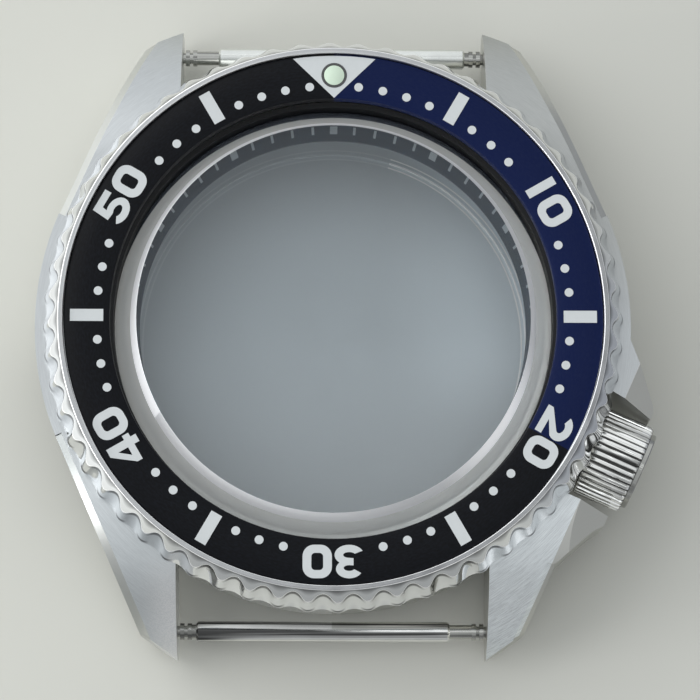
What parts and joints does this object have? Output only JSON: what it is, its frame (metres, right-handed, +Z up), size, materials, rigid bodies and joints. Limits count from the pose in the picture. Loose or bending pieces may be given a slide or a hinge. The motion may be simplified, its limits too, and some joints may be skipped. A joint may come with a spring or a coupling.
{
  "type": "empty watch case",
  "caption": "Empty steel case for a diver's watch: turning bezel with insert, domed-edge crystal, chapter ring, screw-down crown, case back and spring bars.",
  "frame": {"origin": "middle of the case back's outer face, on the axis of the case", "axes": "+Z up through the crystal, +Y to twelve o'clock, +X to three o'clock"},
  "size_m": [0.0447, 0.0466, 0.0132],
  "materials": {
    "brushed_case": "brushed tops, satin flanks",
    "polished_bezel": "polished steel",
    "polished_steel": "polished steel",
    "brushed_back": "satin",
    "bar_steel": "drawn steel, half bright",
    "spring_steel": "drawn wire",
    "crystal_glass": "clear, with a ground edge bevel",
    "white_gasket": "plain",
    "black_gasket": "plain",
    "black_ring": "black with white minute marks",
    "black_insert": "anodised black, first third blue",
    "luminous": "pale green white"
  },
  "bodies": {
    "case": {"case_middle": "brushed_case", "crown_tube": "polished_steel", "crystal": "crystal_glass", "crystal_gasket": "white_gasket", "chapter_ring": "black_ring", "bezel_gasket": "black_gasket", "case_back_gasket": "black_gasket"},
    "bezel": {"bezel_ring": "polished_bezel", "bezel_insert": "black_insert", "pip_cup": "polished_steel", "lume_pip": "luminous"},
    "click": {"click_pin": "polished_steel", "click_spring": "spring_steel"},
    "crown_stem": {"crown_post": "polished_steel", "crown_spring": "spring_steel"},
    "crown": {"crown": "polished_bezel", "crown_core": "polished_steel", "crown_gasket": "black_gasket"},
    "case_back": {"case_back": "brushed_back"},
    "bar_12_near": {"spring_bar_12_right_tip": "bar_steel", "spring_bar_12_barrel": "bar_steel", "spring_bar_12_spring": "spring_steel"},
    "bar_12_far": {"spring_bar_12_left_tip": "bar_steel"},
    "bar_6_near": {"spring_bar_6_left_tip": "bar_steel", "spring_bar_6_barrel": "bar_steel", "spring_bar_6_spring": "spring_steel"},
    "bar_6_far": {"spring_bar_6_right_tip": "bar_steel"}
  },
  "joints": [
    {"name": "bezel_turn", "type": "hinge", "parent": "case", "child": "bezel", "pos_m": [0, 0, 0.0115], "axis": [0, 0, 1], "continuous": true},
    {"name": "click_press", "type": "slide", "parent": "case", "child": "click", "axis": [0, 0, -1], "range_m": [0, 0.0003], "stiffness_N_per_m": 400, "springref_m": -0.0006, "deforming": ["click_spring"]},
    {"name": "crown_turn", "type": "hinge", "parent": "case", "child": "crown_stem", "pos_m": [0, 0, 0.0053], "axis": [0.9128, -0.4083, 0], "continuous": true},
    {"name": "crown_lift", "type": "slide", "parent": "crown_stem", "child": "crown", "axis": [0.9128, -0.4083, 0], "range_m": [0, 0.0012], "deforming": ["crown_spring"]},
    {"name": "case_back_lift", "type": "slide", "parent": "case", "child": "case_back", "axis": [0, 0, -1], "range_m": [0, 0.012]},
    {"name": "bar_12_right_press", "type": "slide", "parent": "case", "child": "bar_12_near", "axis": [-1, 0, 0], "range_m": [0, 0.00075], "stiffness_N_per_m": 1500, "springref_m": -0.0015, "deforming": ["spring_bar_12_spring"]},
    {"name": "bar_12_left_press", "type": "slide", "parent": "case", "child": "bar_12_far", "axis": [1, 0, 0], "range_m": [0, 0.00075], "stiffness_N_per_m": 1500, "springref_m": -0.0015, "deforming": ["spring_bar_12_spring"]},
    {"name": "bar_6_left_press", "type": "slide", "parent": "case", "child": "bar_6_near", "axis": [1, 0, 0], "range_m": [0, 0.00075], "stiffness_N_per_m": 1500, "springref_m": -0.0015, "deforming": ["spring_bar_6_spring"]},
    {"name": "bar_6_right_press", "type": "slide", "parent": "case", "child": "bar_6_far", "axis": [-1, 0, 0], "range_m": [0, 0.00075], "stiffness_N_per_m": 1500, "springref_m": -0.0015, "deforming": ["spring_bar_6_spring"]}
  ]
}
